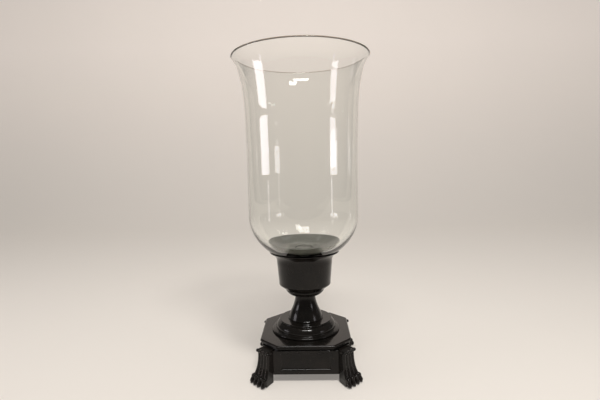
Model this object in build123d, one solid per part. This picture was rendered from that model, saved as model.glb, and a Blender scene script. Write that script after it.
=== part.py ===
from build123d import *
import os
from math import cos, radians, sin, sqrt

# A hurricane candle lantern: a clear glass shade with a flared mouth and a round bowl stands in a metal
# cup, on a turned stem, on a square plinth with cut corners and four lion-paw legs.
# Millimetres. +Z is up, the origin is on the surface it stands on, under the middle of the lantern.
# "across" is a distance from the axis along a diagonal, "half" is half of a width. Small offsets in the
# outlines below are edge breaks and roundings.

TOTAL_HEIGHT = 417.0

# glass shade
RIM_R = 91.0
RIM_Z = TOTAL_HEIGHT - 1.15     # where the rounded rim starts
GLASS_WALL = 2.4
BOWL_R = 73.6
BOWL_Z = 208.0                  # height of the widest part of the bowl, where its half ellipse starts
BOWL_DEPTH = 63.0
BOWL_INNER_DEPTH = 57.5         # the glass is thicker at the bottom
SHADE_SIDE = ((84.9, 405.8), (79.4, 386.0), (75.9, 358.0), (74.3, 315.0))   # outer radius, height

# candle plate, a shallow dish lying in the bowl
DISH_RIM_R = 49.4
DISH_RIM_Z = 171.0
DISH_FLOOR_Z = 158.2            # underside
DISH_THICK = 1.6
DISH_FOOT_GAP = 0.95            # air between the dish's foot and the bowl
DISH_LIP = 1.8                  # width of the dish's rounded lip
DISH_BOSS_R = 12.0              # ring round the candle's centring recess
DISH_BOSS_BEAD = 0.9
DISH_RECESS = 0.6               # depth of the recess
DISH_SIDE_BELOW = (8.3, 5.0)    # middle of the curved side, out from the foot and up, underneath
DISH_SIDE_ABOVE = (6.7, 6.4)    # the same on the upper face

# cup and what carries it
CUP_LIP_R = 46.8
CUP_LIP_Z = 158.9
CUP_SIDE = ((41.4, 154.4), (38.8, 150.6), (37.5, 142.0), (36.3, 128.0))
CUP_FOOT_R = 35.3
CUP_CHAMFER = 7.0               # the sloped step from the cup's side in to its foot, height and depth
CUP_FOOT_Z = 107.6
CUP_WALL = 1.8
CUP_FLOOR = 3.0
COLLAR_R = 25.9
COLLAR_Z = 98.6
COLLAR_SIDE_Z = 104.8           # where the collar's rounded underside ends
COLLAR_UNDERSIDE = (21.3, 100.3)    # middle of the rounded underside, radius and height
STEM_TOP_R = 13.6
STEM_SIDE = ((14.1, 93.0), (15.8, 86.0), (17.8, 80.5), (20.4, 75.0), (22.3, 70.3))
STEM_FOOT_R = 24.0
DOME_TOP_Z = 65.8
SHOULDER_R = 34.6               # outer end of the flat shoulder round the stem
DOME_BEAD_R = 41.0
DOME_FLANGE_R = 46.0
DOME_FLANGE = 3.0               # thickness of the flange

# plinth
PLATE_TOP_Z = 50.4
PLATE_HALF = 59.5
PLATE_FLAT = 36.6               # half length of the straight sides; the corners between them are cut
PLATE_REEDS = ((0.0, 2.5, 0.0), (2.9, 1.8, 1.1), (7.2, 1.8, 2.4))   # depth below top, height, set back
PLATE_DEPTH = 9.0
BOX_HALF = 53.0
BOX_FLAT = 41.5
BOX_BOTTOM_Z = 10.4
BOX_WALL = 4.0
BOX_ROOF = 3.0
PANEL_HALF = 32.0
PANEL_Z = (15.6, 38.0)
PANEL_DEPTH = 1.8

# legs, on the diagonals
LEG_ANGLES = {"front_left": 225, "front_right": 315, "back_right": 45, "back_left": 135}
CAPITAL_OUT = 79.8
CAPITAL_HALF = 11.5
CAPITAL_Z = (38.6, 43.6)
CAPITAL_SLOPE = (9.0, 2.6)      # the slope on top, run and drop
SHAFT_OUT_TOP = 77.0
SHAFT_OUT_BOTTOM = 80.2
SHAFT_HALF = 11.0
REEDS = 4
PAW_OUT = 90.0
PAW_HALF = 14.2
PAW_TOP_Z = 13.5
KNUCKLE_Z = 5.4
PAW_BOTTOM_Z = 0.4
TOES = 4
PAD_R = 5.2
PAD_THICK = 1.2
PAD_ACROSS = 78.0

# hidden hardware: an M8 tie rod holds the stack together, M4 screws hold the legs
ROD_R = 4.0
ROD_BORE_R = 4.3
ROD_Z = (27.8, 121.0)
NUT_AF = 13.0
NUT_HEIGHT = 6.5
TOP_WASHER = (12.0, 1.6)        # radius, thickness
BOTTOM_WASHER = (20.0, 2.0)
SCREW_R = 2.0
SCREW_HEAD_R = 3.6
SCREW_HEAD = 2.2
SCREW_SLOT = 0.9
SCREW_DEPTH = 5.0               # length in the leg
SCREW_HEIGHTS = (20.0, 33.0)

BOX_TOP_Z = PLATE_TOP_Z - PLATE_DEPTH
BOX_CORNER = (BOX_HALF + BOX_FLAT) / sqrt(2)      # distance of the cut corner's face from the axis
LEG_BACK = BOX_CORNER + 0.02
LEG_BACK_HALF = (BOX_HALF - BOX_FLAT) / sqrt(2)   # a leg is as wide as the cut corner there
LEG_SPREAD = 0.344                                # and widens outwards by this much each side


def turned(*edges):
    """Solid of revolution about Z of the closed outline in (radius, height) that the edges make."""
    outline = Wire(edges)
    return revolve(Plane.XZ * make_face(outline), Axis.Z)


def bored(solid, radius=ROD_BORE_R):
    """The solid with the tie rod's hole through it."""
    return solid - Cylinder(radius, 3 * TOTAL_HEIGHT)


def octagon(half, flat, low, high):
    """Square prism with cut corners, between two heights."""
    points = []
    for turn in range(4):
        for u, v in ((half, -flat), (half, flat)):
            a = radians(90 * turn)
            points.append((u * cos(a) - v * sin(a), u * sin(a) + v * cos(a)))
    return Pos(0, 0, low) * extrude(make_face(Polyline(*points, close=True)), high - low)


def prism(points, half):
    """Slab with its outline in (across, height), spread half to each side of the leg's middle plane."""
    face = Plane.XZ * make_face(Polyline(*points, close=True))
    return extrude(face, half, both=True)


def glass_shade():
    inner_r = BOWL_R - GLASS_WALL
    inner_side = [(r - GLASS_WALL, z) for r, z in SHADE_SIDE]
    rim_in = (RIM_R - GLASS_WALL, RIM_Z)
    return turned(
        EllipticalCenterArc((0, BOWL_Z), BOWL_R, BOWL_DEPTH, -90, arc_size=90),
        Spline((BOWL_R, BOWL_Z), *reversed(SHADE_SIDE), (RIM_R, RIM_Z), tangents=((0, 1), (0.75, 1))),
        ThreePointArc((RIM_R, RIM_Z), (RIM_R - GLASS_WALL / 2, TOTAL_HEIGHT), rim_in),
        Spline(rim_in, *inner_side, (inner_r, BOWL_Z), tangents=((-0.75, -1), (0, -1))),
        EllipticalCenterArc((0, BOWL_Z), inner_r, BOWL_INNER_DEPTH, -90, arc_size=90),
        Line((0, BOWL_Z - BOWL_INNER_DEPTH), (0, BOWL_Z - BOWL_DEPTH)),
    )


def bowl_inner_radius(z):
    """Radius of the bowl's inside at a height."""
    return (BOWL_R - GLASS_WALL) * sqrt(1 - ((BOWL_Z - z) / BOWL_INNER_DEPTH) ** 2)


def candle_plate():
    foot = bowl_inner_radius(DISH_FLOOR_Z) - DISH_FOOT_GAP
    top = DISH_FLOOR_Z + DISH_THICK
    rim_out = (DISH_RIM_R, DISH_RIM_Z - 0.6)
    rim_in = (DISH_RIM_R - DISH_LIP, DISH_RIM_Z - 0.5)
    below = (foot + DISH_SIDE_BELOW[0], DISH_FLOOR_Z + DISH_SIDE_BELOW[1])
    above = (foot + DISH_SIDE_ABOVE[0], DISH_FLOOR_Z + DISH_SIDE_ABOVE[1])
    floor_edge = (foot - 1.4, top)
    dish = turned(
        Line((0, DISH_FLOOR_Z), (foot, DISH_FLOOR_Z)),
        ThreePointArc((foot, DISH_FLOOR_Z), below, rim_out),
        ThreePointArc(rim_out, (DISH_RIM_R - DISH_LIP / 2, DISH_RIM_Z), rim_in),
        ThreePointArc(rim_in, above, floor_edge),
        Line(floor_edge, (0, top)),
        Line((0, top), (0, DISH_FLOOR_Z)),
    )
    ring = Pos(0, 0, top) * Torus(DISH_BOSS_R, DISH_BOSS_BEAD)
    upper = Pos(0, 0, top + 1) * Cylinder(DISH_BOSS_R + 3, 2)
    recess = Pos(0, 0, top) * Cylinder(DISH_BOSS_R - 1.2, 2 * DISH_RECESS)
    return dish + (ring & upper) - recess


def cup():
    lip_low = CUP_LIP_Z - 1.2
    lip_in = (CUP_LIP_R - 0.3, CUP_LIP_Z)
    seat_in = (CUP_LIP_R - 2.6, CUP_LIP_Z - 1.9)
    side_low = CUP_FOOT_Z + CUP_CHAMFER
    foot_r = CUP_FOOT_R - CUP_CHAMFER
    chamfer_top = (CUP_FOOT_R - 1.1, side_low - 1.6)
    inner_r = CUP_FOOT_R - CUP_WALL
    inner_side = [(r - CUP_WALL, z) for r, z in CUP_SIDE[1:]]
    floor_z = CUP_FOOT_Z + CUP_FLOOR
    floor_r = foot_r - 0.4
    return bored(turned(
        Line((0, CUP_FOOT_Z), (foot_r - 1.5, CUP_FOOT_Z)),
        Line((foot_r - 1.5, CUP_FOOT_Z), (foot_r, CUP_FOOT_Z + 0.9)),
        Line((foot_r, CUP_FOOT_Z + 0.9), chamfer_top),
        ThreePointArc(chamfer_top, (CUP_FOOT_R - 0.3, side_low - 0.8), (CUP_FOOT_R, side_low)),
        Spline((CUP_FOOT_R, side_low), *reversed(CUP_SIDE), (CUP_LIP_R, lip_low)),
        ThreePointArc((CUP_LIP_R, lip_low), (CUP_LIP_R + 0.35, CUP_LIP_Z - 0.5), lip_in),
        Line(lip_in, seat_in),
        Spline(seat_in, *inner_side, (inner_r, side_low + 1.4)),
        Line((inner_r, side_low + 1.4), (floor_r, floor_z)),
        Line((floor_r, floor_z), (0, floor_z)),
        Line((0, floor_z), (0, CUP_FOOT_Z)),
    ))


def cup_collar():
    foot = (STEM_TOP_R + 1.4, COLLAR_Z)
    side = (COLLAR_R, COLLAR_SIDE_Z)
    return bored(turned(
        Line((0, COLLAR_Z), foot),
        ThreePointArc(foot, COLLAR_UNDERSIDE, side),
        Line(side, (COLLAR_R, CUP_FOOT_Z)),
        Line((COLLAR_R, CUP_FOOT_Z), (0, CUP_FOOT_Z)),
        Line((0, CUP_FOOT_Z), (0, COLLAR_Z)),
    ))


def stem():
    foot_top = (STEM_FOOT_R - 0.8, DOME_TOP_Z + 1.4)
    return bored(turned(
        Line((0, DOME_TOP_Z), (STEM_FOOT_R, DOME_TOP_Z)),
        Line((STEM_FOOT_R, DOME_TOP_Z), foot_top),
        Spline(foot_top, *reversed(STEM_SIDE), (STEM_TOP_R, COLLAR_Z)),
        Line((STEM_TOP_R, COLLAR_Z), (0, COLLAR_Z)),
        Line((0, COLLAR_Z), (0, DOME_TOP_Z)),
    ))


def base_dome():
    """Stepped foot of the stem: a flat shoulder with a small beaded edge, a large bead and a flange."""
    flange_low = (DOME_FLANGE_R - 0.8, PLATE_TOP_Z)
    flange_top = PLATE_TOP_Z + DOME_FLANGE
    flange_in = DOME_FLANGE_R - 1.3
    groove = (SHOULDER_R + 0.8, DOME_TOP_Z - 2.3)
    bead_low = (DOME_BEAD_R - 0.2, flange_top + 1.2)
    return bored(turned(
        Line((0, PLATE_TOP_Z), flange_low),
        ThreePointArc(flange_low, (DOME_FLANGE_R, PLATE_TOP_Z + 1.4), (flange_in, flange_top)),
        Line((flange_in, flange_top), (bead_low[0], flange_top + 0.3)),
        Line((bead_low[0], flange_top + 0.3), bead_low),
        ThreePointArc(bead_low, (DOME_BEAD_R - 1.4, DOME_TOP_Z - 6.2), groove),
        ThreePointArc(groove, (SHOULDER_R + 1.3, DOME_TOP_Z - 1.2), (SHOULDER_R, DOME_TOP_Z)),
        Line((SHOULDER_R, DOME_TOP_Z), (0, DOME_TOP_Z)),
        Line((0, DOME_TOP_Z), (0, PLATE_TOP_Z)),
    ))


def top_plate():
    """Square plate with cut corners and a reeded edge."""
    core = octagon(PLATE_HALF - 3.6, PLATE_FLAT - 1.6, BOX_TOP_Z, PLATE_TOP_Z)
    for depth, height, back in PLATE_REEDS:
        top = PLATE_TOP_Z - depth
        reed = octagon(PLATE_HALF - back, PLATE_FLAT - back * 0.41, top - height, top)
        rounding = 0.45 * height
        reed = fillet(reed.edges().group_by(Axis.Z)[-1] + reed.edges().group_by(Axis.Z)[0], rounding)
        core = core + reed
    return bored(core)


def plinth_box():
    """Open-bottomed box with cut corners, a sunk panel on each side, a roof, and the screw holes."""
    body = octagon(BOX_HALF, BOX_FLAT, BOX_BOTTOM_Z, BOX_TOP_Z)
    inner_flat = BOX_FLAT - BOX_WALL * (sqrt(2) - 1)
    body -= octagon(BOX_HALF - BOX_WALL, inner_flat, BOX_BOTTOM_Z - 1, BOX_TOP_Z - BOX_ROOF)
    low, high = PANEL_Z
    sunk = Box(2 * PANEL_DEPTH, 2 * PANEL_HALF, high - low)
    sunk = Pos(BOX_HALF, 0, (low + high) / 2) * sunk
    for turn in range(4):
        body -= Rot(0, 0, 90 * turn) * sunk
    for angle in LEG_ANGLES.values():
        for z in SCREW_HEIGHTS:
            hole = Cylinder(SCREW_R + 0.1, 3 * BOX_WALL)
            body -= Rot(0, 0, angle) * Pos(BOX_CORNER, 0, z) * Rot(0, 90, 0) * hole
    return bored(body)


def reeded_section():
    """The shaft's plan, half reeds along its outer edge, its back well inside the plinth."""
    pitch = 2 * SHAFT_HALF / REEDS
    front = SHAFT_OUT_BOTTOM - 0.45 * pitch
    back = front - 20
    outline = [Line((back, -SHAFT_HALF), (front, -SHAFT_HALF))]
    for i in range(REEDS):
        low = i * pitch - SHAFT_HALF
        high = low + pitch
        outline.append(ThreePointArc((front, low), (SHAFT_OUT_BOTTOM, (low + high) / 2), (front, high)))
    outline.append(Line((front, SHAFT_HALF), (back, SHAFT_HALF)))
    outline.append(Line((back, SHAFT_HALF), (back, -SHAFT_HALF)))
    return make_face(Wire(outline))


def spread():
    """The wedge, seen from above, that a leg stays in: narrow at the plinth, wider outwards."""
    reach = 2 * (PAW_OUT - LEG_BACK)
    wide = LEG_BACK_HALF + LEG_SPREAD * reach
    far = LEG_BACK + reach
    plan = Polyline((LEG_BACK, -LEG_BACK_HALF), (far, -wide), (far, wide), (LEG_BACK, LEG_BACK_HALF), close=True)
    return extrude(make_face(plan), PLATE_TOP_Z)


def leg():
    """One leg standing out along +X: a capital, a reeded shaft and a paw with toes."""
    cap_low, cap_high = CAPITAL_Z
    run, drop = CAPITAL_SLOPE
    capital = prism(((LEG_BACK, cap_low), (CAPITAL_OUT, cap_low), (CAPITAL_OUT, cap_high - drop),
                     (CAPITAL_OUT - run, cap_high), (LEG_BACK, cap_high)), CAPITAL_HALF)
    shaft_low = PAW_TOP_Z - 5
    rise = cap_low + 1 - shaft_low
    lean = Vector(SHAFT_OUT_TOP - SHAFT_OUT_BOTTOM, 0, rise)
    shaft = Pos(0, 0, shaft_low) * extrude(reeded_section(), lean.length, dir=lean)
    beyond = Box(60, 60, 200, align=(Align.MIN, Align.CENTER, Align.CENTER))
    shaft = shaft & (Pos(LEG_BACK, 0, 0) * beyond)
    paw = prism(((LEG_BACK, PAW_BOTTOM_Z), (PAW_OUT - 5, PAW_BOTTOM_Z), (PAW_OUT - 4, KNUCKLE_Z),
                 (PAW_OUT - 6.6, 10.0), (SHAFT_OUT_BOTTOM + 1.6, PAW_TOP_Z), (LEG_BACK, PAW_TOP_Z)),
                PAW_HALF - 0.6)
    whole = capital + shaft + paw
    pitch = 2 * PAW_HALF / TOES
    toe_r = 0.48 * pitch
    toe_z = PAW_BOTTOM_Z + toe_r + 0.5
    for i in range(TOES):
        y = (i - (TOES - 1) / 2) * pitch
        toe = Cylinder(toe_r, 6, align=(Align.CENTER, Align.CENTER, Align.MAX)) + Sphere(toe_r)
        whole += Pos(PAW_OUT - toe_r, y, toe_z) * Rot(0, 90, 0) * toe
    whole -= Pos(PAD_ACROSS, 0, PAW_BOTTOM_Z) * Cylinder(PAD_R + 0.1, 2 * (PAD_THICK - PAW_BOTTOM_Z))
    for z in SCREW_HEIGHTS:
        whole -= Pos(LEG_BACK, 0, z) * Rot(0, 90, 0) * Cylinder(SCREW_R, 2 * SCREW_DEPTH)
    return whole & spread()


def leg_screw(angle, z):
    """Round-head screw from inside the plinth into a leg."""
    inside = BOX_CORNER - BOX_WALL
    length = BOX_WALL + SCREW_DEPTH - 0.5
    shank = Cylinder(SCREW_R - 0.03, length, align=(Align.CENTER, Align.CENTER, Align.MIN))
    head = Cylinder(SCREW_HEAD_R, SCREW_HEAD, align=(Align.CENTER, Align.CENTER, Align.MAX))
    slot = Pos(0, 0, -SCREW_HEAD) * Box(2 * SCREW_HEAD_R, SCREW_SLOT, SCREW_HEAD)
    return Rot(0, 0, angle) * Pos(inside, 0, z) * Rot(0, 90, 0) * (shank + head - slot)


def nut(bottom):
    body = extrude(RegularPolygon(NUT_AF / 2, 6, major_radius=False), NUT_HEIGHT)
    return Pos(0, 0, bottom) * (body - Cylinder(ROD_R + 0.05, 4 * NUT_HEIGHT))


def washer(size, bottom):
    radius, thick = size
    ring = Cylinder(radius, thick) - Cylinder(ROD_BORE_R, 2 * thick)
    return Pos(0, 0, bottom + thick / 2) * ring


def build():
    parts = {
        "glass_shade": glass_shade(),
        "candle_plate": candle_plate(),
        "cup": cup(),
        "cup_collar": cup_collar(),
        "stem": stem(),
        "base_dome": base_dome(),
        "top_plate": top_plate(),
        "plinth_box": plinth_box(),
    }
    for place, angle in LEG_ANGLES.items():
        parts["leg_" + place] = Rot(0, 0, angle) * leg()
    angles = LEG_ANGLES.values()
    parts["leg_screws"] = Compound([leg_screw(a, z) for a in angles for z in SCREW_HEIGHTS])
    pad = Pos(PAD_ACROSS, 0, PAD_THICK / 2) * Cylinder(PAD_R, PAD_THICK)
    parts["foot_pads"] = Compound([Rot(0, 0, a) * pad for a in angles])
    rod_low, rod_high = ROD_Z
    parts["tie_rod"] = Pos(0, 0, (rod_low + rod_high) / 2) * Cylinder(ROD_R, rod_high - rod_low)
    cup_floor = CUP_FOOT_Z + CUP_FLOOR
    roof = BOX_TOP_Z - BOX_ROOF
    parts["top_washer"] = washer(TOP_WASHER, cup_floor)
    parts["top_nut"] = nut(cup_floor + TOP_WASHER[1])
    parts["bottom_washer"] = washer(BOTTOM_WASHER, roof - BOTTOM_WASHER[1])
    parts["bottom_nut"] = nut(roof - BOTTOM_WASHER[1] - NUT_HEIGHT)
    return parts


os.makedirs("parts", exist_ok=True)
for name, shape in build().items():
    export_step(shape, f"parts/{name}.step")
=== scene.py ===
from math import atan2, cos, hypot, pi, radians, sin, sqrt

import bmesh
import bpy
import numpy as np
from mathutils import Matrix, Vector


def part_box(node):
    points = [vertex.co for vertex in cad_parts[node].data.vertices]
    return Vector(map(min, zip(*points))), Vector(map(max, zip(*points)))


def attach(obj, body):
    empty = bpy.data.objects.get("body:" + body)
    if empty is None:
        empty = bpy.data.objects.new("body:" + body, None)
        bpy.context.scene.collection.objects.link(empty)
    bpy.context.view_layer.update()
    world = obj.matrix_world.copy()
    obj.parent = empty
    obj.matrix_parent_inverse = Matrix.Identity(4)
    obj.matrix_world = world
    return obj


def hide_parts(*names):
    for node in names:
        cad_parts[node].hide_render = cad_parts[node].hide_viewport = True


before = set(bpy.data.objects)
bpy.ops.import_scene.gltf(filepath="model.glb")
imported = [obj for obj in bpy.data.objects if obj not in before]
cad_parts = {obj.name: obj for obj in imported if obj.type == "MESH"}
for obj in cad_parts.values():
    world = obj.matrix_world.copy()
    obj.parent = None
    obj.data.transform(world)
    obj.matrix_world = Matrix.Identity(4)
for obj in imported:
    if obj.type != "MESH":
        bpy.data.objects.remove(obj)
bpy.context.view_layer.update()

# The looks of the hurricane lantern: clear glass, glossy near-black bronze lacquer, cast lion-paw legs.
# Outlines are in millimetres and are then fitted to the boxes of the CAD nodes, so the frame sets every size.

MM = 0.001
TURN = 2 * pi

LEG_ANGLES = {"front_left": 225, "front_right": 315, "back_right": 45, "back_left": 135}
BORE_R = 4.3             # radius of the tie rod's hole through the turned pieces


# ---------------------------------------------------------------- outlines: lists of (radius, height)

def arc(start, through, end, steps=10):
    """Points of the circular arc from start through a middle point to end."""
    (ax, ay), (bx, by), (cx, cy) = start, through, end
    d = 2 * (ax * (by - cy) + bx * (cy - ay) + cx * (ay - by))
    a2, b2, c2 = ax * ax + ay * ay, bx * bx + by * by, cx * cx + cy * cy
    ux = (a2 * (by - cy) + b2 * (cy - ay) + c2 * (ay - by)) / d
    uy = (a2 * (cx - bx) + b2 * (ax - cx) + c2 * (bx - ax)) / d
    radius = hypot(ax - ux, ay - uy)
    a0, am, a1 = (atan2(p[1] - uy, p[0] - ux) for p in (start, through, end))
    sweep, middle = (a1 - a0) % TURN, (am - a0) % TURN
    if middle > sweep:
        sweep -= TURN
    angles = [a0 + sweep * i / steps for i in range(steps + 1)]
    return [(ux + radius * cos(a), uy + radius * sin(a)) for a in angles]


def flowing(points, steps=10, first=None, last=None):
    """Smooth curve through the points, with the end directions given where they matter."""
    p = np.array(points, float)
    knots = np.concatenate([[0], np.cumsum(np.hypot(*np.diff(p, axis=0).T))])
    slopes = np.gradient(p, knots, axis=0)
    for index, direction in ((0, first), (-1, last)):
        if direction is not None:
            slopes[index] = np.array(direction, float) / hypot(*direction)
    out = []
    for i in range(len(p) - 1):
        h = knots[i + 1] - knots[i]
        for s in np.linspace(0, 1, steps, endpoint=False):
            h00, h10 = 2 * s**3 - 3 * s**2 + 1, s**3 - 2 * s**2 + s
            h01, h11 = 3 * s**2 - 2 * s**3, s**3 - s**2
            out.append(tuple(h00 * p[i] + h10 * h * slopes[i] + h01 * p[i + 1] + h11 * h * slopes[i + 1]))
    return out + [tuple(p[-1])]


def quarter(center, across, up, start, end, steps):
    """Points of an ellipse's arc, by angle in degrees."""
    angles = [radians(start + (end - start) * i / steps) for i in range(steps + 1)]
    return [(center[0] + across * cos(a), center[1] + up * sin(a)) for a in angles]


def chain(*parts):
    """Joins stretches of an outline and drops repeated points."""
    out = []
    for part in parts:
        for point in part:
            if not out or hypot(point[0] - out[-1][0], point[1] - out[-1][1]) > 1e-6:
                out.append(point)
    return out


def fitted(outline, node):
    """The outline in metres, stretched to the radius and the heights of a CAD node's box."""
    low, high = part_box(node)
    p = np.array(outline, float)
    radius = high.x / p[:, 0].max()
    rise = (high.z - low.z) / (p[:, 1].max() - p[:, 1].min())
    return [(r * radius, low.z + (z - p[:, 1].min()) * rise) for r, z in p]


# ---------------------------------------------------------------- meshes

def link(name, mesh):
    obj = bpy.data.objects.new(name, mesh)
    bpy.context.scene.collection.objects.link(obj)
    return obj


def shade(mesh, limit=32.0):
    """Smooth shading, with edges sharper than the limit kept crisp."""
    bm = bmesh.new()
    bm.from_mesh(mesh)
    bmesh.ops.recalc_face_normals(bm, faces=bm.faces)
    for face in bm.faces:
        face.smooth = True
    for edge in bm.edges:
        edge.smooth = edge.is_manifold and edge.calc_face_angle(0.0) < radians(limit)
    bm.to_mesh(mesh)
    bm.free()


def mesh_of(name, vertices, faces, limit=32.0):
    mesh = bpy.data.meshes.new(name)
    mesh.from_pydata(vertices, [], faces)
    shade(mesh, limit)
    return mesh


def turned(name, outline, segments=192, wobble=None, limit=32.0):
    """Solid of revolution. An outline that starts and ends on the axis is capped, any other is a ring."""
    on_axis = outline[0][0] < 1e-7
    rows = outline[1:-1] if on_axis else outline
    vertices, faces = [], []
    for r, z in rows:
        for k in range(segments):
            a = TURN * k / segments
            rr = r - (wobble(a, z) if wobble else 0.0)
            vertices.append((rr * cos(a), rr * sin(a), z))
    count = len(rows)
    pairs = range(count - 1) if on_axis else range(count)
    for i in pairs:
        j = (i + 1) % count
        for k in range(segments):
            m = (k + 1) % segments
            faces.append((i * segments + k, i * segments + m, j * segments + m, j * segments + k))
    if on_axis:
        for row, point in ((0, outline[0]), (count - 1, outline[-1])):
            vertices.append((0, 0, point[1]))
            tip = len(vertices) - 1
            for k in range(segments):
                faces.append((tip, row * segments + k, row * segments + (k + 1) % segments))
    return link(name, mesh_of(name, vertices, faces, limit))


def skinned(name, loops, limit=32.0):
    """Skin over closed loops of equal length, with flat caps."""
    size = len(loops[0])
    vertices = [point for loop in loops for point in loop]
    faces = []
    for i in range(len(loops) - 1):
        for k in range(size):
            m = (k + 1) % size
            faces.append((i * size + k, i * size + m, (i + 1) * size + m, (i + 1) * size + k))
    faces.append(tuple(range(size)))
    faces.append(tuple((len(loops) - 1) * size + k for k in range(size)))
    return link(name, mesh_of(name, vertices, faces, limit))


def finished(obj, body, material, slot, *nodes):
    """Material, body and the CAD nodes a piece stands for. The record slot argument is not used."""
    obj.data.materials.clear()
    obj.data.materials.append(material)
    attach(obj, body)
    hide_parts(*nodes)


# ---------------------------------------------------------------- materials

class Nodes:
    """A material's node tree, with short calls to add and join nodes."""

    def __init__(self, name):
        self.material = bpy.data.materials.new(name)
        self.material.use_nodes = True
        self.tree = self.material.node_tree
        self.shader = self.tree.nodes["Principled BSDF"]
        self.output = self.tree.nodes["Material Output"]

    def add(self, kind, **values):
        node = self.tree.nodes.new(kind)
        for key, value in values.items():
            if hasattr(node, key):
                setattr(node, key, value)
            else:
                node.inputs[key.replace("_", " ")].default_value = value
        return node

    def join(self, source, target):
        self.tree.links.new(source, target)

    def set(self, **values):
        for key, value in values.items():
            self.shader.inputs[key.replace("_", " ")].default_value = value

    def noise(self, scale, detail=3.0, roughness=0.55):
        place = self.add("ShaderNodeTexCoord")
        noise = self.add("ShaderNodeTexNoise", Scale=scale, Detail=detail, Roughness=roughness)
        self.join(place.outputs["Object"], noise.inputs["Vector"])
        return noise.outputs["Fac"]

    def span(self, source, low, high, start=0.0, end=1.0):
        node = self.add("ShaderNodeMapRange")
        for key, value in (("From Min", start), ("From Max", end), ("To Min", low), ("To Max", high)):
            node.inputs[key].default_value = value
        self.join(source, node.inputs["Value"])
        return node.outputs["Result"]

    def mix(self, factor, first, second):
        node = self.add("ShaderNodeMix", data_type="RGBA")
        self.join(factor, node.inputs[0])
        for socket, value in ((node.inputs[6], first), (node.inputs[7], second)):
            if isinstance(value, tuple):
                socket.default_value = (*value, 1.0)
            else:
                self.join(value, socket)
        return node.outputs[2]

    def times(self, first, second):
        node = self.add("ShaderNodeMath", operation="MULTIPLY")
        self.join(first, node.inputs[0])
        self.join(second, node.inputs[1])
        return node.outputs[0]

    def bump(self, height, distance, strength=1.0, under=None):
        node = self.add("ShaderNodeBump", Distance=distance, Strength=strength)
        self.join(height, node.inputs["Height"])
        if under:
            self.join(under, node.inputs["Normal"])
        return node.outputs["Normal"]


def lacquer(name, dark=(0.0055, 0.0050, 0.0042), light=(0.0110, 0.0088, 0.0074), wear_and_glint=0.0):
    """Near-black bronze lacquer: glossy, faintly uneven, and if asked a lighter pinkish colour on ridges,
    worn through to metal and partly a painted highlight.
    """
    n = Nodes(name)
    tone = n.mix(n.span(n.noise(38.0), 0, 1, 0.35, 0.65), dark, light)
    # ridges turn a lighter pinkish colour: wear through to metal, and partly a painted highlight on beads,
    # toes and reeds
    if wear_and_glint:
        ridge = n.add("ShaderNodeNewGeometry").outputs["Pointiness"]
        wear_and_glint_mask = n.times(n.span(ridge, 0.0, wear_and_glint, 0.53, 0.64), n.span(n.noise(70.0, 2.0), 0.4, 1, 0.35, 0.65))
        tone = n.mix(wear_and_glint_mask, tone, (0.17, 0.125, 0.125))
    n.join(tone, n.shader.inputs["Base Color"])
    n.join(n.span(n.noise(120.0, 5.0), 0.09, 0.22, 0.3, 0.75), n.shader.inputs["Roughness"])
    peel = n.bump(n.noise(650.0, 2.0), 0.000012, 0.35)
    n.join(n.bump(n.noise(45.0, 2.0), 0.00007, 0.35, under=peel), n.shader.inputs["Normal"])
    n.set(IOR=1.27, Coat_Weight=0.2, Coat_Roughness=0.03, Coat_IOR=1.35)
    return n.material


def clear_glass(name, tint=(0.99, 0.995, 0.985)):
    """Clear soda glass with a faint olive body colour and hand-blown unevenness."""
    n = Nodes(name)
    n.set(Base_Color=(*tint, 1), Roughness=0.0, IOR=1.5, Transmission_Weight=1.0)
    swell = n.bump(n.noise(14.0, 1.0), 0.0005, 0.25)
    n.join(n.bump(n.noise(55.0, 1.5), 0.00008, 0.2, under=swell), n.shader.inputs["Normal"])
    body = n.add("ShaderNodeVolumeAbsorption", Color=(0.79, 0.86, 0.70, 1), Density=14.0)
    n.join(body.outputs["Volume"], n.output.inputs["Volume"])
    return n.material


def plated(name):
    """Zinc-plated steel with fine brushing and dull blotches."""
    n = Nodes(name)
    tone = n.mix(n.span(n.noise(160.0), 0, 1, 0.35, 0.7), (0.50, 0.50, 0.48), (0.66, 0.65, 0.61))
    n.join(tone, n.shader.inputs["Base Color"])
    n.join(n.span(n.noise(420.0, 4.0), 0.28, 0.5), n.shader.inputs["Roughness"])
    n.join(n.bump(n.noise(1500.0, 2.0), 0.00002, 0.5), n.shader.inputs["Normal"])
    n.set(Metallic=1.0)
    return n.material


def felt(name):
    """Dense black felt with a fibrous nap."""
    n = Nodes(name)
    tone = n.mix(n.span(n.noise(2600.0, 5.0), 0, 1, 0.35, 0.65), (0.018, 0.018, 0.019), (0.06, 0.058, 0.056))
    n.join(tone, n.shader.inputs["Base Color"])
    n.join(n.bump(n.noise(3800.0, 4.0), 0.0003, 0.8), n.shader.inputs["Normal"])
    n.set(Roughness=0.95, Sheen_Weight=0.4, Sheen_Roughness=0.5)
    return n.material


def paper(name, low, high, glow):
    """Matte pale paper, painted a little lighter up the wall as painted light, that glows a little so that it
    stays even.
    """
    n = Nodes(name)
    place = n.add("ShaderNodeTexCoord")
    axes = n.add("ShaderNodeSeparateXYZ")
    n.join(place.outputs["Object"], axes.inputs[0])
    # painted light: the paper goes from the darker floor colour to the lighter wall colour with height
    tone = n.mix(n.span(axes.outputs["Z"], 0, 1, 0.0, 1.0), low, high)
    tone = n.mix(n.span(n.noise(3.0, 2.0), 0, 0.03, 0.3, 0.7), tone, (0.5, 0.5, 0.5))
    n.join(tone, n.shader.inputs["Base Color"])
    n.join(tone, n.shader.inputs["Emission Color"])
    n.set(Roughness=0.8, Specular_IOR_Level=0.2, Emission_Strength=glow)
    return n.material


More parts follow.
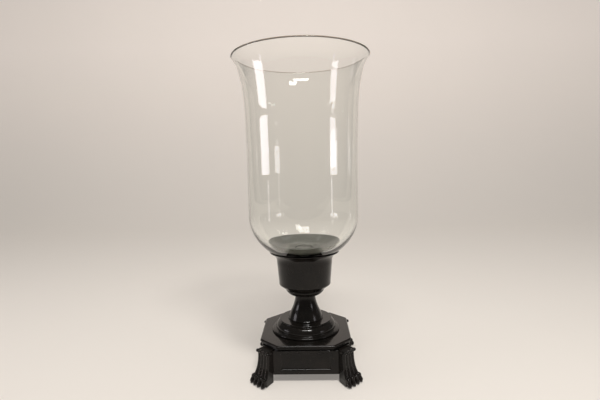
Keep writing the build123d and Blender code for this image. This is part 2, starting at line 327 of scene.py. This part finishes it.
LACQUER = lacquer("bronze_lacquer")
# the legs' ridges carry the pinkish wear and painted highlight
LEG_LACQUER = lacquer("worn_bronze_lacquer_painted_glint", wear_and_glint=0.7)
# the dish's light grey-green base colour is a painted reflection of the pale wall, standing in for its sheen
DISH_LACQUER_PAINTED_SHEEN = lacquer("dish_lacquer_painted_sheen", (0.165, 0.168, 0.140), (0.220, 0.223, 0.190))
GLASS = clear_glass("clear_glass")
# the lip's glass is tinted brown so that the rim shows a dark line: painted shade
RIM_GLASS_PAINTED_SHADE = clear_glass("fire_polished_rim_painted_shade", (0.66, 0.56, 0.49))
STEEL = plated("plated_steel")
FELT = felt("black_felt")


# ---------------------------------------------------------------- turned pieces

def glass_shade():
    bowl_r, bowl_z, bowl_depth, inner_depth = 73.6, 208, 63, 57.5
    rim_r, rim_z, top_z, wall = 91, 415.85, 417, 2.4
    side = [(bowl_r, bowl_z), (74.3, 315), (75.9, 358), (79.4, 386), (84.9, 405.8), (rim_r, rim_z)]
    inner = [(r - wall, z) for r, z in side]
    outline = chain(
        quarter((0, bowl_z), bowl_r, bowl_depth, -90, 0, 48),
        flowing(side, 26, first=(0, 1), last=(0.75, 1)),
        arc(side[-1], (rim_r - wall / 2, top_z), inner[-1], 12),
        flowing(inner, 26, first=(0, 1), last=(0.75, 1))[::-1],
        quarter((0, bowl_z), bowl_r - wall, inner_depth, 0, -90, 48),
    )

    def wobble(a, z):
        """How far the blown wall lies inside the true round, never outside it."""
        wave = sin(2 * a + 19 * z) + 0.6 * sin(3 * a - 31 * z + 1.3) + 0.4 * sin(5 * a + 47 * z + 0.4)
        return 0.00004 * (wave + 3.0)

    piece = turned("glass_shade_blown", fitted(outline, "glass_shade"), 256, wobble, limit=60)
    finished(piece, "shade", GLASS, "glass", "glass_shade")
    # faces above the lip take the brown-tinted rim glass, the painted dark line of the rim
    piece.data.materials.append(RIM_GLASS_PAINTED_SHADE)
    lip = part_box("glass_shade")[1].z - (top_z - rim_z) * MM
    for face in piece.data.polygons:
        face.material_index = int(face.center.z > lip)


def candle_plate():
    outline = chain(
        [(0, 158.2), (34.0, 158.2)],
        arc((34.7, 158.2), (43, 163.2), (49.4, 170.4), 16),
        arc((49.4, 170.4), (48.5, 171), (47.6, 170.5), 8),
        arc((47.6, 170.5), (41.4, 164.6), (33.2, 159.8), 16),
        [(14.4, 159.8)],
        arc((13.1, 159.8), (12.0, 160.7), (10.9, 159.5), 10),
        [(10.5, 159.2), (0, 159.1)],
    )
    piece = turned("candle_dish", fitted(outline, "candle_plate"), 160)
    finished(piece, "plate", DISH_LACQUER_PAINTED_SHEEN, "plate_metal", "candle_plate")


def cup():
    outline = chain(
        [(BORE_R, 107.6), (26.6, 107.6)],
        arc((26.8, 107.6), (27.7, 107.9), (28.4, 108.6), 4),
        [(34.1, 113.0)],
        arc((34.2, 113.1), (35.05, 113.9), (35.3, 114.8), 6),
        flowing([(35.3, 114.8), (36.3, 128), (37.5, 142), (38.8, 150.6), (41.4, 154.4), (46.8, 157.7)], 10,
                first=(0.02, 1)),
        arc((46.8, 157.7), (47.16, 158.4), (46.5, 158.9), 6),
        [(44.2, 157.0)],
        flowing([(44.2, 157.0), (37.0, 150.6), (35.7, 142), (34.5, 128), (33.5, 116.1)], 12),
        [(27.9, 110.6), (BORE_R, 110.6)],
    )
    piece = turned("cup_spun", fitted(outline, "cup"), 192)
    finished(piece, "base", LACQUER, "lacquered_metal", "cup")


def cup_collar():
    outline = chain(
        [(BORE_R, 98.6), (14.6, 98.6)],
        arc((15, 98.6), (21.3, 100.3), (25.7, 104.6), 14),
        arc((25.7, 104.6), (25.9, 105.8), (25.7, 107.0), 6),
        [(25.0, 107.6), (BORE_R, 107.6)],
    )
    piece = turned("collar_cast", fitted(outline, "cup_collar"), 160)
    finished(piece, "base", LACQUER, "lacquered_metal", "cup_collar")


def stem():
    outline = chain(
        [(BORE_R, 65.8), (23.6, 65.8)],
        arc((23.7, 65.8), (24.0, 66.3), (23.6, 67.0), 5),
        flowing([(23.4, 67.3), (22.3, 70.3), (20.4, 75.0), (17.8, 80.5), (15.8, 86.0), (14.1, 93.0),
                 (13.6, 98.6)], 12, last=(0, 1)),
        [(BORE_R, 98.6)],
    )
    piece = turned("stem_cast", fitted(outline, "stem"), 160)
    finished(piece, "base", LACQUER, "lacquered_metal", "stem")


def base_dome():
    outline = chain(
        [(BORE_R, 50.4), (45.2, 50.4)],
        arc((45.2, 50.4), (46, 51.8), (44.7, 53.4), 10),
        [(41.3, 53.65)],
        arc((41.3, 53.65), (40.95, 53.9), (40.8, 54.6), 4),
        arc((40.8, 54.6), (39.6, 59.6), (35.9, 63.2), 24),
        arc((35.9, 63.2), (35.5, 63.35), (35.3, 63.7), 4),
        arc((35.3, 63.7), (35.9, 64.6), (34.6, 65.8), 12),
        [(24.5, 65.8), (BORE_R, 65.8)],
    )
    piece = turned("dome_cast", fitted(outline, "base_dome"), 192)
    finished(piece, "base", LACQUER, "lacquered_metal", "base_dome")


# ---------------------------------------------------------------- plinth

def corner_loop(half, flat, z, soft=0.9, steps=4):
    """Square with cut, slightly rounded corners, as points at one height, in metres."""
    corners = []
    for turn in range(4):
        for u, v in ((half, -flat), (half, flat)):
            a = TURN * turn / 4
            corners.append(Vector((u * cos(a) - v * sin(a), u * sin(a) + v * cos(a))))
    loop = []
    for i, corner in enumerate(corners):
        before = (corners[i - 1] - corner).normalized() * soft
        after = (corners[(i + 1) % 8] - corner).normalized() * soft
        for k in range(steps + 1):
            t = k / steps
            p = (corner + before) * (1 - t) ** 2 + corner * 2 * t * (1 - t) + (corner + after) * t**2
            loop.append((p.x * MM, p.y * MM, z))
    return loop


def top_plate():
    """The plate and its reeded edge, one loop for each step of the moulding."""
    low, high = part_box("top_plate")
    half, flat = high.x / MM, 36.6
    depth = (high.z - low.z) / MM
    edge = chain(
        [(2.6, 0)], arc((1.9, 0), (1.6, 0.04), (1.35, 0.18), 5),
        arc((0.85, 0.7), (0.45, 1.1), (0.25, 1.7), 6),
        arc((0.2, 2.0), (0.35, 2.4), (1.0, 2.5), 6),
        arc((2.0, 2.8), (1.1, 3.75), (2.0, 4.7), 10), arc((2.9, 4.8), (BORE_R, 5.6), (4.0, 7.1), 10),
        arc((3.3, 7.2), (2.4, 8.1), (3.3, 8.95), 10), [(4.4, depth)],
    )
    loops = [corner_loop(half - back, flat - 0.41 * back, high.z - down * MM) for back, down in edge]
    piece = skinned("top_plate_cast", loops, limit=28)
    finished(piece, "base", LACQUER, "lacquered_metal", "top_plate")


def plinth_box():
    """Outside with a sunk, moulded panel in each side, a rim round the open bottom, inside walls and roof."""
    low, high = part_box("plinth_box")
    half, flat, wall = high.x / MM, 41.5, 4.0
    z0, z1 = low.z / MM, high.z / MM
    roof = z1 - 3.0
    panel, p0, p1 = 32.0, 15.6, 38.0
    bm = bmesh.new()

    def add(points):
        return [bm.verts.new((x * MM, y * MM, z * MM)) for x, y, z in points]

    def band(first, second):
        for k in range(len(first)):
            m = (k + 1) % len(first)
            bm.faces.new((first[k], first[m], second[m], second[k]))

    inner_flat = flat - wall * (sqrt(2) - 1)
    for turn in range(4):
        a = TURN * turn / 4

        def at(x, y, z):
            return (x * cos(a) - y * sin(a), x * sin(a) + y * cos(a), z)

        frame_loop = add([at(half, -flat, z0), at(half, flat, z0), at(half, flat, z1), at(half, -flat, z1)])
        last = frame_loop
        # the moulding round the panel: a bevel with a soft edge and a soft foot, down to the sunk face
        for back, inset in ((0, 0), (0.1, 0.25), (0.8, 0.9), (1.5, 1.6), (1.75, 2.1), (1.8, 2.7)):
            y, x = panel - inset, half - back
            bottom, top = p0 + inset, p1 - inset
            step = add([at(x, -y, bottom), at(x, y, bottom), at(x, y, top), at(x, -y, top)])
            band(last, step)
            last = step
        bm.faces.new(last)
        nxt = a + TURN / 4
        bx, by = half * cos(nxt) + flat * sin(nxt), half * sin(nxt) - flat * cos(nxt)
        corner = add([at(half, flat, z0), (bx, by, z0), (bx, by, z1), at(half, flat, z1)])
        bm.faces.new(corner)
    outer0, outer1, inner0, inner1 = [], [], [], []
    for turn in range(4):
        a = TURN * turn / 4
        for loop, u, f, z in ((outer0, half, flat, z0), (outer1, half, flat, z1),
                              (inner0, half - wall, inner_flat, z0), (inner1, half - wall, inner_flat, roof)):
            for v in (-f, f):
                loop.append((u * cos(a) - v * sin(a), u * sin(a) + v * cos(a), z))
    outer0, outer1, inner0, inner1 = add(outer0), add(outer1), add(inner0), add(inner1)
    band(outer0, inner0)
    band(inner0, inner1)
    bm.faces.new(inner1)
    bm.faces.new(outer1)
    bmesh.ops.remove_doubles(bm, verts=bm.verts, dist=1e-6)
    mesh = bpy.data.meshes.new("plinth_box_cast")
    bm.to_mesh(mesh)
    bm.free()
    shade(mesh, 28)
    piece = link("plinth_box_cast", mesh)
    bevel = piece.modifiers.new("edges", "BEVEL")
    bevel.width, bevel.segments, bevel.limit_method, bevel.angle_limit = 0.0005, 3, "ANGLE", radians(40)
    finished(piece, "base", LACQUER, "lacquered_metal", "plinth_box")


# ---------------------------------------------------------------- legs

LEG_BACK = 66.84         # distance from the axis where a leg meets the plinth's cut corner
LEG_BACK_HALF = 8.1      # half width of a leg there
CAP_OUT, CAP_HALF = 79.8, 11.5
CAP_LOW, CAP_HIGH = 38.6, 43.55
PAW_OUT, PAW_HALF = 90.0, 14.2
SOLE_Z = 0.42
TOES = 4
REEDS = 4
# height, distance from the axis and half width of the shaft, which spreads smoothly into the paw
SHAFT = ((39.6, 77.3, 10.8), (33, 77.4, 10.8), (27, 78.0, 10.9), (21, 79.2, 11.2), (16.5, 80.6, 11.8),
         (13, 82.1, 12.4), (10, 83.6, 13.0), (7.5, 84.8, 13.4), (5.5, 85.4, 13.5))


def ball(bm, center, radii):
    matrix = Matrix.Translation(center) @ Matrix.Diagonal((*radii, 1.0))
    bmesh.ops.create_uvsphere(bm, u_segments=24, v_segments=16, radius=1.0, matrix=matrix)


def limb(bm, start, r0, end, r1, steps=6):
    """Row of overlapping balls from one size to another, a tapered rounded bar."""
    for i in range(steps + 1):
        t = i / steps
        center = tuple(a + (b - a) * t for a, b in zip(start, end))
        r = r0 + (r1 - r0) * t
        ball(bm, center, (r, r, r))


def slab(bm, loops):
    """Closed skin over loops of equal length, straight into a bmesh."""
    rows = [[bm.verts.new(p) for p in loop] for loop in loops]
    size = len(rows[0])
    for first, second in zip(rows, rows[1:]):
        for k in range(size):
            m = (k + 1) % size
            bm.faces.new((first[k], first[m], second[m], second[k]))
    bm.faces.new(rows[0][::-1])
    bm.faces.new(rows[-1])


def shaft_loop(z, out, half, depth=2.2):
    """Plan of the shaft: convex reeds on the outward face, plain sides that close in towards the plinth."""
    loop = [(LEG_BACK, -LEG_BACK_HALF, z)]
    pitch = 2 * half / REEDS
    for i in range(REEDS):
        for k in range(9):
            t = k / 8
            loop.append((out - depth + depth * sin(pi * t) ** 0.7, -half + (i + t) * pitch, z))
    loop.append((LEG_BACK, LEG_BACK_HALF, z))
    return loop


def block_loop(z, out, half, soft=0.8):
    """Plan of a plain block with softened outer corners."""
    back, back_half = LEG_BACK, min(half, LEG_BACK_HALF)
    return [(back, -back_half, z), (out - soft, -half, z), (out, -half + soft, z),
            (out, half - soft, z), (out - soft, half, z), (back, back_half, z)]


def leg_mesh():
    """One leg along +X in millimetres: capital with a row of beads, reeded shaft, paw; fused and smoothed."""
    bm = bmesh.new()
    # capital: a slab with a sloped top over a row of fat beads, one for each reed, turned round the corners
    slab(bm, [block_loop(z, CAP_OUT - back, CAP_HALF - side) for z, back, side in (
        (CAP_LOW + 1.4, 2.6, 1.9), (CAP_LOW + 2.6, 1.5, 0.9), (CAP_HIGH - 2.2, 1.3, 0.8),
        (CAP_HIGH - 1.5, 2.0, 1.1), (CAP_HIGH, 9.0, 2.6))])
    bead, z = 2.5, CAP_LOW + 2.1
    front, side = CAP_OUT - bead, CAP_HALF - bead
    for i in range(REEDS):
        ball(bm, (front, side * (2 * i / (REEDS - 1) - 1), z), (bead, bead + 0.3, bead - 0.3))
    for y in (-side, side):
        ball(bm, (front - 5.8, 0.94 * y, z), (bead + 0.3, bead, bead - 0.3))
    slab(bm, [shaft_loop(*level) for level in SHAFT])
    # paw: a sole block, then toe by toe a knuckle, the toe and a short blunt claw
    slab(bm, [block_loop(z, out, half, 3.0) for z, out, half in (
        (SOLE_Z, 83.6, 12.0), (1.4, 85.0, 13.0), (5.0, 85.4, 13.3), (9.0, 82.5, 12.6))])
    pitch = 2 * PAW_HALF / TOES
    for i in range(TOES):
        y = (i - (TOES - 1) / 2) * pitch
        back = 0.7 * (abs(2 * i - TOES + 1) - 1) / 2
        ball(bm, (84.2 - back, 0.96 * y, 9.4), (3.6, 3.35, 3.0))
        ball(bm, (85.9 - back, y, 6.6), (2.7, 2.7, 2.5))
        ball(bm, (87.0 - back, y, 4.0), (2.9, 3.3, 3.4))
        limb(bm, (88.2 - back, y, 4.4), 1.5, (88.8 - back, y, 1.7), 1.0)
    mesh = bpy.data.meshes.new("leg_rough")
    bm.to_mesh(mesh)
    bm.free()
    rough = link("leg_rough", mesh)
    remesh = rough.modifiers.new("fuse", "REMESH")
    remesh.mode, remesh.voxel_size = "VOXEL", 0.36
    smooth = rough.modifiers.new("soften", "SMOOTH")
    smooth.factor, smooth.iterations = 0.5, 4
    graph = bpy.context.evaluated_depsgraph_get()
    fused = bpy.data.meshes.new_from_object(rough.evaluated_get(graph))
    bpy.data.objects.remove(rough)
    points = np.zeros(len(fused.vertices) * 3)
    fused.vertices.foreach_get("co", points)
    points = points.reshape(-1, 3)
    points[:, 0] = np.clip(points[:, 0], LEG_BACK, PAW_OUT)
    points[:, 1] = np.clip(points[:, 1], -PAW_HALF, PAW_HALF)
    points[:, 2] = np.clip(points[:, 2], SOLE_Z, CAP_HIGH)
    fused.vertices.foreach_set("co", (points * MM).ravel())
    fused.update()
    return fused


def legs():
    shape = leg_mesh()
    for place, angle in LEG_ANGLES.items():
        mesh = shape.copy()
        mesh.transform(Matrix.Rotation(radians(angle), 4, "Z"))
        shade(mesh, 70)
        finished(link(f"leg_{place}_cast", mesh), "base", LEG_LACQUER, "lacquered_metal", f"leg_{place}")


# ---------------------------------------------------------------- hardware and pads

def thread(radius, pitch=1.25, depth=0.55):
    """Threaded rod over the tie rod's height: a screw surface, one row for each step along the helix."""
    low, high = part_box("tie_rod")
    length = (high.z - low.z) / MM
    segments, rows_per_turn = 40, 8
    rows = int(length / pitch * rows_per_turn)
    loops = []
    for j in range(rows + 1):
        z = length * j / rows
        end = min(z, length - z)
        loop = []
        for k in range(segments):
            a = TURN * k / segments
            phase = (z / pitch - a / TURN) % 1.0
            groove = depth * abs(2 * phase - 1)
            r = radius - max(groove, 0.9 * max(0.0, 1.0 - end))
            loop.append((r * cos(a) * MM, r * sin(a) * MM, low.z + z * MM))
        loops.append(loop)
    return skinned("tie_rod_threaded", loops, limit=75)


def hardware():
    """The threaded rod, and the CAD's own nuts, washers and screws with softened edges."""
    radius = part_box("tie_rod")[1].x / MM
    finished(thread(radius), "base", STEEL, "plated_steel", "tie_rod")
    for node in ("top_nut", "bottom_nut", "top_washer", "bottom_washer", "leg_screws"):
        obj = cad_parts[node]
        obj.data.materials.clear()
        obj.data.materials.append(STEEL)
        bevel = obj.modifiers.new("edges", "BEVEL")
        bevel.width, bevel.segments, bevel.limit_method, bevel.angle_limit = 0.00025, 2, "ANGLE", radians(50)


def foot_pads():
    """Felt discs under the paws, with soft edges and a slightly uneven rim."""
    low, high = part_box("foot_pads")
    radius, across = 5.15, 78.0
    thick = (high.z - low.z) / MM
    flat = radius - 0.4
    outline = chain([(0, 0), (flat, 0)], arc((flat, 0), (radius, thick / 2), (flat, thick), 6), [(0, thick)])
    outline = [(r * MM, z * MM) for r, z in outline]

    def nap(a, z):
        """How far the felt's cut edge lies inside the round."""
        return 0.00006 * (1 + sin(9 * a) * sin(4 * a))

    for place, angle in LEG_ANGLES.items():
        piece = turned(f"foot_pad_{place}", outline, 64, nap)
        spot = Matrix.Rotation(radians(angle), 4, "Z") @ Matrix.Translation((across * MM, 0, low.z))
        piece.data.transform(spot)
        finished(piece, "base", FELT, "felt", "foot_pads")


# ---------------------------------------------------------------- stage, light, camera

def sweep_backdrop():
    """Pale floor that curves up into a pale wall."""
    depth, reach, height, radius, half = -1.6, 1.9, 1.3, 0.7, 2.7
    line = [(depth, 0.0)]
    line += [(reach - radius + radius * sin(t), radius - radius * cos(t)) for t in np.linspace(0, pi / 2, 24)]
    line.append((reach, height))
    vertices = [(x, y, z) for y, z in line for x in (-half, half)]
    faces = [(2 * i, 2 * i + 1, 2 * i + 3, 2 * i + 2) for i in range(len(line) - 1)]
    backdrop = link("backdrop", mesh_of("backdrop", vertices, faces, 60))
    backdrop.data.materials.append(paper("backdrop_paper", (0.62, 0.58, 0.535), (0.86, 0.79, 0.735), 0.36))


def soft_light(name, location, aim, width, height, radiance, colour, seen=True):
    """Rectangular light of the given brightness, facing the aim point; unseen ones show in no reflection."""
    data = bpy.data.lights.new(name, "AREA")
    data.shape, data.size, data.size_y = "RECTANGLE", width, height
    data.energy = radiance * pi * width * height
    data.color = colour
    light = bpy.data.objects.new(name, data)
    light.location = location
    light.rotation_euler = (Vector(aim) - Vector(location)).to_track_quat("-Z", "Y").to_euler()
    light.visible_camera = False
    light.visible_glossy = light.visible_transmission = seen
    bpy.context.scene.collection.objects.link(light)


# name, angle round the object in degrees, lower and upper edge, width, brightness
WINDOWS = (
    ("left_tall", 192, 0.24, 0.44, 0.42, 5.0),
    ("left_mid", 191, 0.45, 0.48, 0.42, 2.4),
    ("left_upper", 193, 0.55, 0.62, 0.34, 1.0),
    ("left_top", 190, 0.71, 0.83, 0.16, 2.4),
    ("left_low", 199, 0.03, 0.22, 0.05, 3.0),
    ("right_tall", -27, 0.26, 0.42, 0.26, 4.4),
    ("right_mid", -28, 0.43, 0.46, 0.14, 1.8),
    ("right_upper", -28, 0.52, 0.56, 0.16, 1.4),
    ("right_low", -30, 0.08, 0.26, 0.04, 2.0),
    ("right_side", 16, 0.26, 0.44, 0.06, 1.0),
)
WINDOW_DISTANCE = 1.2
WINDOW_LIGHT = (1.0, 0.95, 1.0)
LAMP_LIGHT = (1.0, 0.98, 0.95)
CEILING_LIGHT = (1.0, 0.97, 0.93)
ROOM_LIGHT = (0.17, 0.163, 0.156)


def window(name, angle, low, high, width, radiance):
    """Upright softbox on a circle round the object."""
    x, y = WINDOW_DISTANCE * cos(radians(angle)), WINDOW_DISTANCE * sin(radians(angle))
    z = (low + high) / 2
    soft_light(name, (x, y, z), (0, 0, z), width, high - low, radiance, WINDOW_LIGHT)


def studio():
    """Softboxes to the sides, a small lamp, a light overhead for the edges and a ceiling for an even fill."""
    for values in WINDOWS:
        window(*values)
    soft_light("ceiling", (0.0, 0.2, 2.3), (0, 0.2, 0), 2.4, 2.0, 0.9, CEILING_LIGHT, seen=False)
    soft_light("lamp", (0.20, -0.50, 1.0), (0, 0, 0.06), 0.18, 0.18, 45.0, LAMP_LIGHT)
    soft_light("overhead", (0.0, -0.75, 1.75), (0, 0, 0.1), 0.6, 0.3, 18.0, LAMP_LIGHT)
    world = bpy.data.worlds.new("room")
    world.use_nodes = True
    world.node_tree.nodes["Background"].inputs["Color"].default_value = (*ROOM_LIGHT, 1)
    bpy.context.scene.world = world
    bpy.context.scene.view_settings.view_transform = "Standard"


def camera():
    """The viewpoint: close, a little above the stem, looking slightly down, turned a little to the left."""
    data = bpy.data.cameras.new("camera")
    data.lens, data.sensor_width = 24.58, 36.0
    data.clip_start = 0.02
    obj = bpy.data.objects.new("camera", data)
    turn, down, tilt = radians(1.49), radians(4.56), radians(-1.26)
    heading, level = Matrix.Rotation(turn, 4, "Z"), Matrix.Rotation(pi / 2 - down, 4, "X")
    rotation = heading @ level @ Matrix.Rotation(tilt, 4, "Z")
    obj.matrix_world = Matrix.Translation((0.0100, -0.5528, 0.2722)) @ rotation
    bpy.context.scene.collection.objects.link(obj)
    bpy.context.scene.camera = obj


glass_shade()
candle_plate()
cup()
cup_collar()
stem()
base_dome()
top_plate()
plinth_box()
legs()
hardware()
foot_pads()
sweep_backdrop()
studio()
camera()
